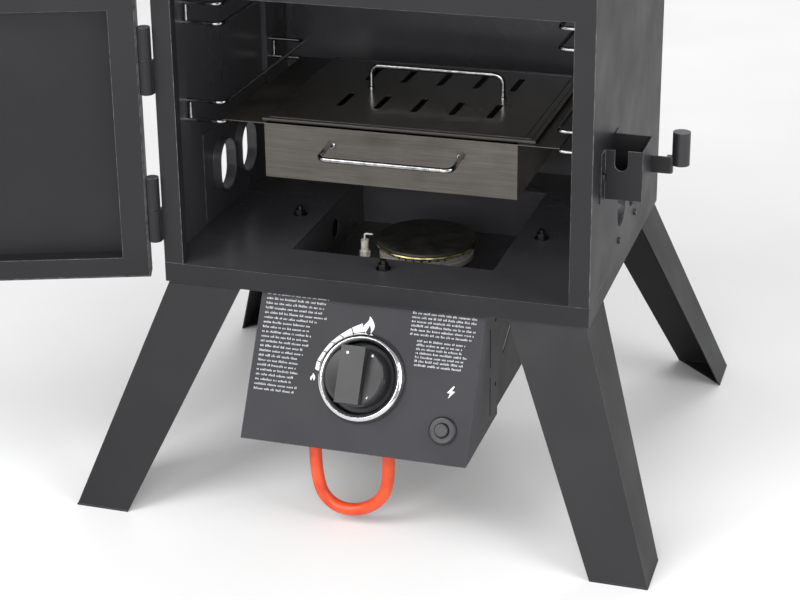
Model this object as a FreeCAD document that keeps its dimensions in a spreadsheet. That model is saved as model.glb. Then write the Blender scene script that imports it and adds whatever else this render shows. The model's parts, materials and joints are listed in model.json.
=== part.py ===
import FreeCAD, Part
import math
import os
import re

import Sketcher

# A free-standing gas cabinet smoker with two doors. Millimetres, +Z up, +X to the right of
# someone facing the doors, +Y to the rear. The origin is on the floor, at the middle of the
# four feet. Both doors stand open, as the smoker is modelled at rest.

V = FreeCAD.Vector
UP = V(0, 0, 1)
doc = FreeCAD.newDocument("CabinetSmoker")

# ---------------------------------------------------------------- driving dimensions
SIZES = {
    # cabinet
    "cabinet_width": 430, "cabinet_depth": 360, "cabinet_height": 820, "leg_height": 225,
    "wall": 1.2, "skirt_height": 20, "frame_face": 20, "frame_return": 12,
    "lower_opening": 274, "mullion_height": 40,
    # legs: the feet stand out beyond the cabinet
    "foot_spread_x": 77.7, "foot_spread_y": 75.7, "leg_width_top": 77, "leg_width_foot": 55.8,
    "leg_sheet": 1.5, "leg_inset": 3, "leg_flange_drop": 8, "leg_bolt_radius": 3,
    "leg_bolt_inset": 28, "leg_bolt_stagger": 14, "leg_bolt_head": 4,
    # sunken burner well and the shroud under it
    "well_side_gap": 6, "well_depth": 230, "well_drop": 55, "well_centre_y": 3,
    "well_flange": 10, "well_hole_radius": 10.5, "well_hole_y": 18, "well_hole_rise": 28,
    "shroud_short": 4.7, "shroud_rear": 130, "shroud_front": 142, "shroud_nest": 0.3,
    "slant_y": -100, "slant_drop": 72, "slant_run": 34, "slant_rise": 17, "slant_width": 4.5,
    "under_gap": 0.3, "floor_bolt_margin": 26, "floor_bolt_y": -16,
    # burner
    "burner_x": 5, "burner_y": -5, "burner_cap_radius": 53, "burner_cap_height": 6,
    "burner_ring_radius": 48, "burner_ring_height": 11, "burner_ring_wall": 1.5,
    "burner_sink": 13, "burner_cup_height": 9, "neck_radius": 12, "neck_bore": 9,
    "neck_length": 52, "ring_ports": 36, "port_radius": 1.2, "electrode_gap": 8,
    "electrode_offset": 22, "electrode_radius": 4, "electrode_foot": 7, "electrode_low": 8,
    "electrode_nut": 6, "spark_radius": 0.9, "spark_bend": 2, "spark_reach": 9, "spark_rise": 3,
    # doors
    "door_depth": 20, "door_gap": 1.5, "lap_wide": 13.5, "lap_narrow": 6,
    "door_flange_side": 27, "door_flange_end": 21, "door_open": 160, "door_clearance": 0.6,
    "liner_gap": 0.2, "liner_lift": 0.05,
    # hinges
    "hinge_radius": 6.5, "hinge_length": 67, "hinge_inset": 71, "hinge_pin_radius": 3,
    "running": 0.05, "hinge_gap": 0.4, "pin_reach": 26, "hinge_set_back": 1.9,
    "hinge_tab_reach": 8,
    # door latches
    "latch_inset": 35, "latch_shaft_radius": 4, "latch_cam_length": 24, "latch_cam_width": 10,
    "latch_cam_sheet": 3, "latch_cam_reach": 13.5, "latch_lever_length": 88,
    "latch_lever_width": 16, "latch_lever_sheet": 8, "latch_hub_radius": 13,
    "latch_standoff": 0.5, "latch_hub_rise": 3,
    # thermometer in the upper door
    "dial_radius": 32, "dial_depth": 11, "probe_radius": 3, "probe_length": 62,
    "dial_height": 268, "dial_nut_radius": 8, "dial_nut_height": 5,
    # shelf rails
    "wire_radius": 2, "rail_line": 168, "rail_front": -121, "rail_rear": 115, "rail_bend": 8,
    "rail_pair": 20, "rail_rise": 132, "rail_pitch": 100, "pan_rise": 61, "head_room": 3.8,
    "post_width": 31, "post_depth": 6, "post_below": 17, "post_short": 60,
    # side vents
    "vent_width": 40, "vent_height": 54, "vent_front": -31, "vent_rear": 29, "vent_rise": 55,
    "vent_collar": 9, "vent_plate_front": -75, "vent_plate_rear": 72, "vent_plate_below": 50,
    "vent_plate_above": 45,
    # chip box and its lid
    "box_width": 257, "box_front": -122, "box_rear": 110, "box_height": 55, "box_sheet": 1,
    "box_shift": 2, "box_flange": 171, "slide_clearance": 0.3, "lid_width": 277,
    "lid_front": -117, "lid_rear": 107, "lid_shift": 8, "lid_rise": 3, "lid_sheet": 1,
    "slot_length": 46, "slot_width": 7, "slot_pitch": 39, "slot_row_front": -37,
    "slot_row_rear": 56, "handle_radius": 2.5, "box_handle_span": 134,
    "box_handle_reach": 38, "box_handle_drop": 14, "box_handle_shift": 7,
    "lid_handle_span": 140, "lid_handle_rise": 24, "lid_handle_y": 8, "lid_handle_shift": 5,
    "handle_bend": 9,
    # water pan and grates
    "pan_width": 310, "pan_front": -140, "pan_rear": 130, "pan_height": 42, "pan_sheet": 1,
    "pan_rim": 171, "grate_half": 172, "grate_front": -140, "grate_rear": 132,
    "grate_frame_radius": 2.5, "grate_bar_radius": 1.5, "grate_bars": 16, "grate_bend": 10,
    # control panel
    "panel_width": 228, "panel_length": 144, "panel_tilt": 30, "panel_top_y": -175,
    "panel_top_drop": 3, "panel_sheet": 1.5, "panel_side_rear": -128, "cheek_slot_y": -158,
    "cheek_slot_width": 3.4, "cheek_slot_length": 42, "cheek_slot_pitch": 52,
    "cheek_slot_drop": 62, "cheek_hole_radius": 2.6, "cheek_hole_y": -136,
    "cheek_hole_pitch": 70, "cheek_hole_drop": 18,
    "bezel_radius": 44, "bezel_height": 9, "bezel_bore": 33, "knob_radius": 29.5,
    "knob_gap": 4, "knob_disc": 25, "grip_width": 24, "grip_height": 12, "knob_travel": 3,
    "spindle_radius": 4, "spindle_flat": 1.2, "knob_socket": 16,
    "piezo_inset": 27, "piezo_down": 40, "piezo_radius": 13.5, "piezo_rim": 4, "piezo_body": 10,
    "piezo_length": 34, "button_radius": 7, "button_height": 6, "button_travel": 4,
    # gas line
    "valve_width": 34, "valve_length": 40, "valve_depth": 30, "valve_stand": 8,
    "inlet_radius": 6.5, "inlet_length": 20, "inlet_nut_radius": 9, "inlet_nut_height": 7,
    "inlet_bore": 3,
    "hose_radius": 6.3, "hose_plane": -214, "hose_left": -48.6, "hose_right": 27,
    "hose_drop": 9.3, "nipple_length": 18, "pipe_radius": 5, "pipe_bend": 14, "pipe_rise": 20,
    "elbow_half": 7, "elbow_height": 13,
    # regulator pocket, strap arm and hose clip on the right side
    "pocket_reach": 37, "pocket_front": -130, "pocket_depth": 52, "pocket_rise": 92,
    "pocket_height": 49, "pocket_sheet": 1.5, "pocket_flange": 16, "notch_width": 12,
    "notch_depth": 20, "arm_height": 17, "arm_rise": 12, "arm_reach": 18, "arm_overlap": 20,
    "clip_radius": 8.5, "clip_bore": 6.5, "clip_rise": 19, "clip_height": 33,
    "clip_slot": 8,
    # flue
    "flue_radius": 38, "flue_height": 50, "flue_wall": 1.2, "flue_flange": 10, "damper_radius": 36,
    "damper_level": 30, "damper_sheet": 1, "damper_pin_radius": 2.5,
    # fasteners
    "bolt_radius": 3, "nut_radius": 5.5, "nut_height": 5, "washer_radius": 7.5,
    "washer_sheet": 1, "screw_radius": 4, "screw_rise": 2.2, "screw_taper": 1.2,
    "bolt_under": 4, "bolt_over": 5, "bolt_head": 2.5, "screw_offset": 12, "screw_spread": 38,
}

# Places worked out from the driving dimensions.
PLACES = {
    "floor_top": "leg_height + skirt_height",
    "roof_top": "leg_height + cabinet_height",
    "half_width": "cabinet_width / 2",
    "half_depth": "cabinet_depth / 2",
    "front_y": "-cabinet_depth / 2",
    "inner_half": "cabinet_width / 2 - wall",
    "opening_half": "cabinet_width / 2 - frame_face",
    "lower_opening_top": "leg_height + skirt_height + lower_opening",
    "upper_opening_low": "lower_opening_top + mullion_height",
    "upper_opening_top": "roof_top - wall - frame_face",
    "foot_x": "half_width + foot_spread_x",
    "foot_y": "half_depth + foot_spread_y",
    "well_floor": "floor_top - well_drop",
    "shroud_half": "panel_width / 2 - panel_sheet - shroud_nest",
    "well_width": "2 * (shroud_half - wall - well_side_gap)",
    "vent_level": "floor_top + vent_rise",
    "vent_plate_low": "vent_level - vent_plate_below",
    "vent_plate_high": "vent_level + vent_plate_above",
    "rail_first": "floor_top + rail_rise",
    "rail_upper": "upper_opening_low + pan_rise",
    "upper_pitch": "(upper_opening_top - head_room - rail_upper) / 4",
    "pocket_low": "floor_top + pocket_rise",
    "arm_low": "pocket_low + arm_rise",
    "clip_low": "pocket_low + clip_rise",
    "piezo_x": "panel_width / 2 - piezo_inset",
    "door_back_y": "front_y - door_gap",
    "door_face_y": "front_y - door_gap - door_depth",
    "lower_door_low": "floor_top - lap_wide",
    "lower_door_high": "lower_opening_top + lap_narrow",
    "upper_door_low": "upper_opening_low - lap_narrow",
    "upper_door_high": "roof_top - lap_narrow",
    "hinge_x": "-half_width - hinge_radius",
    "hinge_y": "front_y - door_gap - door_clearance - hinge_set_back",
    "latch_x": "half_width - latch_inset",
    "cam_y": "front_y + latch_cam_reach",
    "post_face": "inner_half - post_depth",
    "panel_top_z": "leg_height - panel_top_drop",
    "panel_mid_y": "panel_top_y - panel_length / 2 * sin(panel_tilt)",
    "panel_mid_z": "panel_top_z - panel_length / 2 * cos(panel_tilt)",
    "panel_low_z": "panel_top_z - panel_length * cos(panel_tilt)",
    "shroud_low": "panel_low_z + shroud_short",
    "slant_z": "panel_top_z - slant_drop",
    "hose_top": "panel_low_z - hose_drop",
    "pipe_level": "hose_top + nipple_length + pipe_rise",
    "tray_rest": "wire_radius + slide_clearance",
    "box_top": "rail_first + tray_rest",
    "burner_top": "floor_top - burner_sink",
    "cap_low": "burner_top - burner_cap_height",
    "ring_low": "cap_low - burner_ring_height",
    "cup_low": "ring_low - burner_cup_height",
    "neck_low": "cup_low - neck_length",
}

dims = doc.addObject("Spreadsheet::Sheet", "dims")
for line, (word, size) in enumerate(SIZES.items(), start=1):
    dims.set(f"A{line}", word)
    dims.set(f"B{line}", str(size))
    dims.setAlias(f"B{line}", word)
layout = doc.addObject("App::VarSet", "layout")
probe = doc.addObject("App::VarSet", "probe")
probe.addProperty("App::PropertyFloat", "value")


def words(text, own=False):
    """An expression in the sheet's words, with each word's owner put before it."""

    def owner(match):
        word = match.group()
        if word in SIZES:
            return "dims." + word
        if word in PLACES and not own:
            return "layout." + word
        return word

    return re.sub(r"[a-z_][a-z_0-9]*", owner, str(text))


doc.recompute()
for word, text in PLACES.items():
    layout.addProperty("App::PropertyFloat", word)
    layout.setExpression(word, words(text, own=True))
doc.recompute()


def number(text):
    """What an expression comes to, for the shapes that need it as a number."""
    probe.setExpression("value", words(text))
    probe.recompute()
    return probe.value


def point(x, y, z):
    return V(number(x), number(y), number(z))


# ---------------------------------------------------------------- primitives and booleans
def at(piece, place):
    for axis, text in zip("xyz", place):
        piece.setExpression(f"Placement.Base.{axis}", words(text))
    return piece


def box(size, corner):
    piece = doc.addObject("Part::Box", "Block")
    for side, text in zip(("Length", "Width", "Height"), size):
        piece.setExpression(side, words(text))
    return at(piece, corner)


def span(low, high):
    """A block from one corner to the opposite one."""
    return box([f"({b}) - ({a})" for a, b in zip(low, high)], low)


def rod(radius, length, foot, way=UP):
    piece = doc.addObject("Part::Cylinder", "Rod")
    piece.setExpression("Radius", words(radius))
    piece.setExpression("Height", words(length))
    piece.Placement.Rotation = FreeCAD.Rotation(UP, way)
    return at(piece, foot)


def cone(radius_low, radius_high, length, foot, way=UP):
    piece = doc.addObject("Part::Cone", "Cone")
    piece.setExpression("Radius1", words(radius_low))
    piece.setExpression("Radius2", words(radius_high))
    piece.setExpression("Height", words(length))
    piece.Placement.Rotation = FreeCAD.Rotation(UP, way)
    return at(piece, foot)


def hexagon(radius, length, foot):
    piece = doc.addObject("Part::Prism", "Hexagon")
    piece.Polygon = 6
    piece.setExpression("Circumradius", words(radius))
    piece.setExpression("Height", words(length))
    return at(piece, foot)


def fuse(*pieces):
    joined = doc.addObject("Part::MultiFuse", "Joined")
    joined.Shapes = list(pieces)
    joined.Refine = True
    return joined


def cut(base, *tools):
    made = doc.addObject("Part::Cut", "Cut")
    made.Base = base
    made.Tool = tools[0] if len(tools) == 1 else group(*tools)
    return made


def group(*pieces):
    """Separate solids kept together."""
    together = doc.addObject("Part::Compound", "Group")
    together.Links = list(pieces)
    return together


def shape(made):
    """A solid that the features above can't make, from Part's own functions."""
    piece = doc.addObject("Part::Feature", "Formed")
    piece.Shape = made
    return piece


# ---------------------------------------------------------------- sketched bodies
def outline(body, role, corners, height="0"):
    """A closed outline on one of the body's own planes, every corner tied to the sheet."""
    sketch = body.newObject("Sketcher::SketchObject", "Outline")
    plane = next(f for f in body.Origin.OriginFeatures if f.Role == role)
    sketch.AttachmentSupport = (plane, [""])
    sketch.MapMode = "FlatFace"
    sketch.setExpression("AttachmentOffset.Base.z", words(height))
    seeds = [V(number(u), number(v), 0) for u, v in corners]
    count = len(seeds)
    for i in range(count):
        sketch.addGeometry(Part.LineSegment(seeds[i], seeds[(i + 1) % count]))
    for i in range(count):
        sketch.addConstraint(Sketcher.Constraint("Coincident", i, 2, (i + 1) % count, 1))
    for i, (u, v) in enumerate(corners):
        for kind, text, seed in (("DistanceX", u, seeds[i].x), ("DistanceY", v, seeds[i].y)):
            which = sketch.addConstraint(Sketcher.Constraint(kind, -1, 1, i, 1, seed))
            sketch.setExpression(f"Constraints[{which}]", words(text))
    return sketch


def padded(role, corners, depth, height="0", both=False):
    """An outline pushed out along its plane's normal."""
    body = doc.addObject("PartDesign::Body", "Body")
    pad = body.newObject("PartDesign::Pad", "Pad")
    pad.Profile = outline(body, role, corners, height)
    pad.setExpression("Length", words(depth))
    pad.Midplane = both
    return body


def turned(corners):
    """A half profile of radius and height, turned about Z."""
    body = doc.addObject("PartDesign::Body", "Body")
    sketch = outline(body, "XZ_Plane", corners)
    turn = body.newObject("PartDesign::Revolution", "Turn")
    turn.Profile = sketch
    turn.ReferenceAxis = (sketch, ["V_Axis"])
    turn.Angle = 360
    return body


def lofted(sections):
    """A straight-sided solid through level outlines of the same corner count."""
    body = doc.addObject("PartDesign::Body", "Body")
    sketches = [outline(body, "XY_Plane", corners, height) for height, corners in sections]
    loft = body.newObject("PartDesign::AdditiveLoft", "Loft")
    loft.Profile = sketches[0]
    loft.Sections = sketches[1:]
    loft.Ruled = True
    return body


# ---------------------------------------------------------------- bent wires and tubes
def path(points, radii):
    """Straight runs joined by tangent arcs, one radius for each inner point."""
    edges = []
    here = points[0]
    for before, corner, after, radius in zip(points, points[1:], points[2:], radii):
        back = (before - corner).normalize()
        ahead = (after - corner).normalize()
        half = back.getAngle(ahead) / 2
        reach = radius / math.tan(half)
        start = corner + back * reach
        end = corner + ahead * reach
        middle = (back + ahead).normalize()
        top = corner + middle * (radius / math.sin(half) - radius)
        if (start - here).Length > 1e-6:
            edges.append(Part.LineSegment(here, start).toShape())
        edges.append(Part.Arc(start, top, end).toShape())
        here = end
    edges.append(Part.LineSegment(here, points[-1]).toShape())
    return Part.Wire(edges)


def tube(points, radii, radius):
    """A round bar swept along a path."""
    line = path(points, radii)
    way = points[1] - points[0]
    ring = Part.Wire([Part.Circle(points[0], way, radius).toShape()])
    return line.makePipeShell([ring], True, False)


def wire(points, radius, bend):
    """A bent wire; points are given in the sheet's words."""
    corners = [point(*p) for p in points]
    radii = [number(bend)] * (len(corners) - 2)
    return shape(tube(corners, radii, number(radius)))


# ---------------------------------------------------------------- naming
nodes = []


def node(label, piece):
    piece.Label = label
    nodes.append(piece)
    return piece


def swing(piece):
    """Turn a door's piece, made shut, to where the door stands open."""
    doc.recompute()
    turn = FreeCAD.Rotation(UP, -number("door_open"))
    hinge = point("hinge_x", "hinge_y", 0)
    piece.Placement = FreeCAD.Placement(V(0, 0, 0), turn, hinge)
    return piece


def on_panel(piece):
    """Set a piece made about the control panel's middle, facing +Z, onto the tilted panel."""
    doc.recompute()
    turn = FreeCAD.Rotation(V(1, 0, 0), 90 - number("panel_tilt"))
    piece.Placement = FreeCAD.Placement(point(0, "panel_mid_y", "panel_mid_z"), turn)
    return piece


def mirrored(side, text):
    """An X place on the right, side 1, or on the left, side -1."""
    return f"{side} * ({text})"


def pair(side, near, far):
    """Two X places in rising order, whichever side they are on."""
    ends = (mirrored(side, near), mirrored(side, far))
    return ends if side > 0 else ends[::-1]


# ---------------------------------------------------------------- cabinet walls
def vent_hole(side, y_middle, inner, outer, margin="0"):
    """A tall opening with round ends through a side wall."""
    low, high = pair(side, inner, outer)
    half = f"(vent_width / 2 + {margin})"
    straight = "(vent_height - vent_width) / 2"
    length = f"({high}) - ({low})"
    middle = span(
        (low, f"{y_middle} - {half}", f"vent_level - {straight}"),
        (high, f"{y_middle} + {half}", f"vent_level + {straight}"),
    )
    ends = [
        rod(half, length, (low, y_middle, f"vent_level {sign} {straight}"), V(1, 0, 0))
        for sign in "+-"
    ]
    return fuse(middle, *ends)


def side_panel(side):
    low, high = pair(side, "inner_half", "half_width")
    sheet = span((low, "front_y + wall", "floor_top"), (high, "half_depth - wall", "roof_top - wall"))
    holes = [
        vent_hole(side, y, "inner_half - 2", "half_width + 2")
        for y in ("vent_front", "vent_rear")
    ]
    return cut(sheet, *holes)


def vent_plate(side):
    """An inner plate behind the vents, with a collar round each."""
    low, high = pair(side, "inner_half - wall", "inner_half")
    sheet = span(
        (low, "vent_plate_front", "vent_plate_low"), (high, "vent_plate_rear", "vent_plate_high")
    )
    collars = [
        vent_hole(side, y, "inner_half - wall - vent_collar", "inner_half - 0.1", "1.2")
        for y in ("vent_front", "vent_rear")
    ]
    holes = [
        vent_hole(side, y, "inner_half - vent_collar - 4", "half_width")
        for y in ("vent_front", "vent_rear")
    ]
    return cut(fuse(sheet, *collars), *holes)


def floor_pan():
    """The folded base: a floor with the burner's opening, and a skirt down all four sides."""
    outer = span(("-half_width", "front_y", "leg_height"), ("half_width", "half_depth", "floor_top"))
    under = span(
        ("-inner_half", "front_y + wall", "leg_height - 1"),
        ("inner_half", "half_depth - wall", "floor_top - wall"),
    )
    opening = box(
        ("well_width", "well_depth", "4 * wall"),
        ("-well_width / 2", "well_centre_y - well_depth / 2", "floor_top - 2 * wall"),
    )
    holes = [
        rod("bolt_radius + 0.2", "4 * wall", (x, y, "floor_top - 2 * wall"))
        for x, y in floor_bolt_places()
    ]
    return cut(outer, under, opening, *holes)


def front_frame():
    """Two posts, a head and the bar between the doors, with edges folded inwards."""
    face = span(
        ("-half_width", "front_y", "floor_top"), ("half_width", "front_y + wall", "roof_top - wall")
    )
    returns = []
    openings = []
    for low, high, fold in (
        ("floor_top", "lower_opening_top", "0"),
        ("upper_opening_low", "upper_opening_top", "wall"),
    ):
        returns.append(
            span(
                ("-opening_half - wall", "front_y", f"{low} - {fold}"),
                ("opening_half + wall", "front_y + frame_return", f"{high} + wall"),
            )
        )
        openings.append(
            span(
                ("-opening_half", "front_y - 1", low if fold != "0" else f"{low} - 1"),
                ("opening_half", "front_y + frame_return + 1", high),
            )
        )
    return cut(fuse(face, *returns), *openings)


def back_panel():
    return span(
        ("-half_width", "half_depth - wall", "floor_top"), ("half_width", "half_depth", "roof_top - wall")
    )


def top_panel():
    sheet = span(
        ("-half_width", "front_y", "roof_top - wall"), ("half_width", "half_depth", "roof_top")
    )
    return cut(sheet, rod("flue_radius - flue_wall", "4 * wall", (0, 0, "roof_top - 2 * wall")))


# ---------------------------------------------------------------- legs
def leg(side, end):
    """An angle of folded sheet that leans out to its foot, with flanges at both ends."""

    def angle(x, y, width):
        """The L of one level: outer corner, two arms and the inside of the fold."""
        arm = f"({width})"
        return [
            (f"{side} * ({x})", f"{end} * ({y})"),
            (f"{side} * (({x}) - {arm})", f"{end} * ({y})"),
            (f"{side} * (({x}) - {arm})", f"{end} * (({y}) - leg_sheet)"),
            (f"{side} * (({x}) - leg_sheet)", f"{end} * (({y}) - leg_sheet)"),
            (f"{side} * (({x}) - leg_sheet)", f"{end} * (({y}) - {arm})"),
            (f"{side} * ({x})", f"{end} * (({y}) - {arm})"),
        ]

    # the leg keeps its lean above the skirt's lower edge, up to the bolted flange
    rise = "(leg_height + skirt_height - wall - leg_flange_drop)"
    share = f"({rise} / leg_height)"
    top_x = f"foot_x + (half_width - leg_inset - foot_x) * {share}"
    top_y = f"foot_y + (half_depth - leg_inset - foot_y) * {share}"
    limb = lofted(
        [
            ("0", angle("foot_x", "foot_y", "leg_width_foot")),
            (rise, angle(top_x, top_y, "leg_width_top")),
        ]
    )

    def gusset(x, y, width, level, rises):
        corners = [
            (f"{side} * ({x})", f"{end} * ({y})"),
            (f"{side} * (({x}) - ({width}))", f"{end} * ({y})"),
            (f"{side} * ({x})", f"{end} * (({y}) - ({width}))"),
        ]
        return padded("XY_Plane", corners, rises, level)

    foot = gusset("foot_x", "foot_y", "leg_width_foot", "0", "leg_sheet")
    head = gusset(top_x, top_y, "leg_width_top", f"{rise} - leg_sheet", "leg_sheet")
    holes = [
        rod("leg_bolt_radius + 0.2", "6 * leg_sheet", (x, y, f"{rise} - 3 * leg_sheet"))
        for x, y in leg_bolt_places(side, end)
    ]
    return cut(fuse(limb, foot, head), *holes)


def leg_bolt_places(side, end):
    inset_x = "(half_width - leg_inset - leg_bolt_inset)"
    inset_y = "(half_depth - leg_inset - leg_bolt_inset)"
    return [
        (f"{side} * ({inset_x} - leg_bolt_stagger)", f"{end} * {inset_y}"),
        (f"{side} * {inset_x}", f"{end} * ({inset_y} - leg_bolt_stagger)"),
    ]


def leg_bolts():
    """Hexagon bolts from below, each into a nut welded under the floor."""
    pieces = []
    flange = "(floor_top - wall - leg_flange_drop)"
    for side in (-1, 1):
        for end in (-1, 1):
            for x, y in leg_bolt_places(side, end):
                head = hexagon(
                    "nut_radius", "leg_bolt_head", (x, y, f"{flange} - leg_sheet - leg_bolt_head")
                )
                shank = rod(
                    "leg_bolt_radius", "leg_flange_drop + leg_sheet",
                    (x, y, f"{flange} - leg_sheet"),
                )
                nut = hexagon("nut_radius", "leg_flange_drop", (x, y, flange))
                pieces.append(fuse(head, shank, nut))
    return group(*pieces)


# ---------------------------------------------------------------- burner and its well
def floor_bolt_places():
    """One beyond the middle of each side of the burner's opening."""
    across = "(well_width / 2 + floor_bolt_margin)"
    along = "(well_depth / 2 + floor_bolt_margin)"
    return [
        (f"-{across}", "floor_bolt_y"),
        (across, "floor_bolt_y"),
        ("0", f"well_centre_y - {along}"),
        ("0", f"well_centre_y + {along}"),
    ]


def floor_bolts():
    """Screw ends standing up through the floor, each with a washer and a nut."""
    pieces = []
    for x, y in floor_bolt_places():
        washer = rod("washer_radius", "washer_sheet", (x, y, "floor_top"))
        nut = hexagon("nut_radius", "nut_height", (x, y, "floor_top + washer_sheet"))
        shank = rod(
            "bolt_radius", "nut_height + bolt_under + bolt_over", (x, y, "floor_top - bolt_under")
        )
        head = rod("nut_radius", "bolt_head", (x, y, "floor_top - wall - bolt_head"))
        pieces.append(fuse(washer, nut, shank, head))
    return group(*pieces)


def burner_well():
    """A sunken open box hung from a flange under the floor, with air holes in two sides."""
    half = "(well_width / 2)"
    front = "(well_centre_y - well_depth / 2)"
    rear = "(well_centre_y + well_depth / 2)"
    under = "(floor_top - wall)"
    flange = span(
        (f"-{half} - well_flange", f"{front} - well_flange", f"{under} - wall"),
        (f"{half} + well_flange", f"{rear} + well_flange", under),
    )
    tub = span(
        (f"-{half} - wall", f"{front} - wall", "well_floor"), (f"{half} + wall", f"{rear} + wall", under)
    )
    hollow = span((f"-{half}", front, "well_floor + wall"), (half, rear, f"{under} + 1"))
    neck = rod("neck_radius + 0.5", "4 * wall", ("burner_x", "burner_y", "well_floor - wall"))
    air = rod(
        "well_hole_radius", "well_width + 4 * wall",
        (f"-{half} - 2 * wall", "well_centre_y + well_hole_y", "well_floor + well_hole_rise"),
        V(1, 0, 0),
    )
    return cut(fuse(flange, tub), hollow, neck, air)


def burner_base():
    """A shallow cup on a neck that comes up through the well's floor."""
    return at(
        turned(
            [
                ("neck_bore", "neck_low"),
                ("neck_radius", "neck_low"),
                ("neck_radius", "cup_low - 3"),
                ("burner_ring_radius - 8", "cup_low"),
                ("burner_ring_radius + 1.5", "cup_low + 3"),
                ("burner_ring_radius + 1.5", "ring_low"),
                ("burner_ring_radius - 3", "ring_low"),
                ("burner_ring_radius - 3", "cup_low + 4.5"),
                ("neck_bore + 6", "cup_low + 1.5"),
                ("neck_bore", "cup_low"),
            ]
        ),
        ("burner_x", "burner_y", 0),
    )


def burner_ring():
    """The ring of gas ports between the cup and the cap."""
    hoop = cut(
        rod("burner_ring_radius", "burner_ring_height", (0, 0, "ring_low")),
        rod(
            "burner_ring_radius - burner_ring_wall", "burner_ring_height + 2", (0, 0, "ring_low - 1")
        ),
    )
    doc.recompute()
    ports = []
    count = int(number("ring_ports"))
    for i in range(count):
        turn = FreeCAD.Rotation(UP, 360 * i / count)
        way = turn.multVec(V(1, 0, 0))
        foot = way * number("burner_ring_radius - 4")
        foot.z = number("ring_low + burner_ring_height / 2")
        ports.append(Part.makeCylinder(number("port_radius"), 8, foot, way))
    ring = cut(hoop, shape(Part.makeCompound(ports)))
    return at(ring, ("burner_x", "burner_y", 0))


def burner_cap():
    """A round cap, slightly domed, with a rolled edge."""
    return at(
        turned(
            [
                ("0", "cap_low"),
                ("burner_cap_radius - 3", "cap_low"),
                ("burner_cap_radius - 1", "cap_low - 1"),
                ("burner_cap_radius", "cap_low + 1"),
                ("burner_cap_radius - 1", "cap_low + 3.5"),
                ("burner_cap_radius - 6", "burner_top - 0.8"),
                ("0", "burner_top"),
            ]
        ),
        ("burner_x", "burner_y", 0),
    )


def igniter_electrode():
    """A ceramic body on a bracket, with its spark wire bent towards the ring of ports."""
    x = "(burner_x - burner_cap_radius - electrode_gap)"
    y = "(burner_y - electrode_offset)"
    foot = "well_floor + wall"
    ceramic_top = "(burner_top - electrode_low + 2)"
    lead = wire(
        [
            (x, y, ceramic_top),
            (x, y, "burner_top + spark_rise"),
            (f"{x} + spark_reach", y, "burner_top + spark_rise"),
        ],
        "spark_radius", "spark_bend",
    )
    bracket = span(
        (f"{x} - electrode_foot", f"{y} - electrode_foot", foot),
        (f"{x} + electrode_foot", f"{y} + electrode_foot", f"{foot} + 2"),
    )
    ceramic = rod("electrode_radius", f"{ceramic_top} - {foot} - 2", (x, y, f"{foot} + 2"))
    collar = hexagon("electrode_nut", "electrode_nut", (x, y, f"{ceramic_top} - 16"))
    return fuse(bracket, ceramic, collar, lead)


def burner_shroud():
    """Side and rear plates that screen the burner well from below the cabinet."""
    under = "floor_top - 2 * wall - under_gap"
    outer = span(
        ("-shroud_half", "-shroud_front", "shroud_low"), ("shroud_half", "shroud_rear", under)
    )
    inner = span(
        ("-shroud_half + wall", "-shroud_front - 1", "shroud_low - 1"),
        ("shroud_half - wall", "shroud_rear - wall", "floor_top"),
    )
    # one slanted slot through both sides
    slot = padded(
        "YZ_Plane",
        [
            ("slant_y", "slant_z"),
            ("slant_y + slant_run", "slant_z + slant_rise"),
            ("slant_y + slant_run", "slant_z + slant_rise + slant_width"),
            ("slant_y", "slant_z + slant_width"),
        ],
        "2 * shroud_half + 2", both=True,
    )
    return cut(outer, inner, slot)


# ---------------------------------------------------------------- control panel
def control_panel():
    """A tilted face with a folded cheek at each side, hung under the front edge."""
    half = "panel_width / 2"
    face_front = [
        ("panel_top_y", "panel_top_z"),
        ("panel_top_y - panel_length * sin(panel_tilt)", "panel_low_z"),
        ("panel_side_rear", "panel_low_z"),
        ("panel_side_rear", "floor_top - wall - under_gap"),
        ("panel_top_y", "floor_top - wall - under_gap"),
    ]
    block = padded("YZ_Plane", face_front, "panel_width", both=True)
    run = "panel_sheet / cos(panel_tilt)"
    low_end = "(panel_length * cos(panel_tilt) + 1) * tan(panel_tilt)"
    hollow = [
        ("panel_top_y + panel_sheet", f"panel_top_z - ({run} - panel_sheet) / tan(panel_tilt)"),
        (f"panel_top_y - {low_end} + {run}", "panel_low_z - 1"),
        ("panel_side_rear + 1", "panel_low_z - 1"),
        ("panel_side_rear + 1", "floor_top + 1"),
        ("panel_top_y + panel_sheet", "floor_top + 1"),
    ]
    inside = padded("YZ_Plane", hollow, "panel_width - 2 * panel_sheet", both=True)
    slots = [
        span(
            (f"-{half} - 1", "cheek_slot_y", z),
            (f"{half} + 1", "cheek_slot_y + cheek_slot_width", f"{z} + cheek_slot_length"),
        )
        for z in ("panel_top_z - cheek_slot_drop", "panel_top_z - cheek_slot_drop - cheek_slot_pitch")
    ]
    slots += [
        rod("cheek_hole_radius", f"2 * ({half} + 1)", (f"-{half} - 1", "cheek_hole_y", z), V(1, 0, 0))
        for z in ("panel_top_z - cheek_hole_drop", "panel_top_z - cheek_hole_drop - cheek_hole_pitch")
    ]
    bores = on_panel(
        group(
            rod("spindle_radius + 0.6", "10", (0, 0, -5)),
            rod("piezo_body + 0.2", "10", ("piezo_x", "-piezo_down", -5)),
        )
    )
    return cut(block, inside, *slots, bores)


def knob_bezel():
    """A dished chrome ring pressed on the face round the knob."""
    return on_panel(
        turned(
            [
                ("bezel_bore", "0"),
                ("bezel_radius - 2", "0"),
                ("bezel_radius", "2"),
                ("bezel_radius - 2", "bezel_height - 2"),
                ("bezel_radius - 5", "bezel_height"),
                ("bezel_radius - 8", "bezel_height - 1.5"),
                ("bezel_bore", "2"),
            ]
        )
    )


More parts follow.
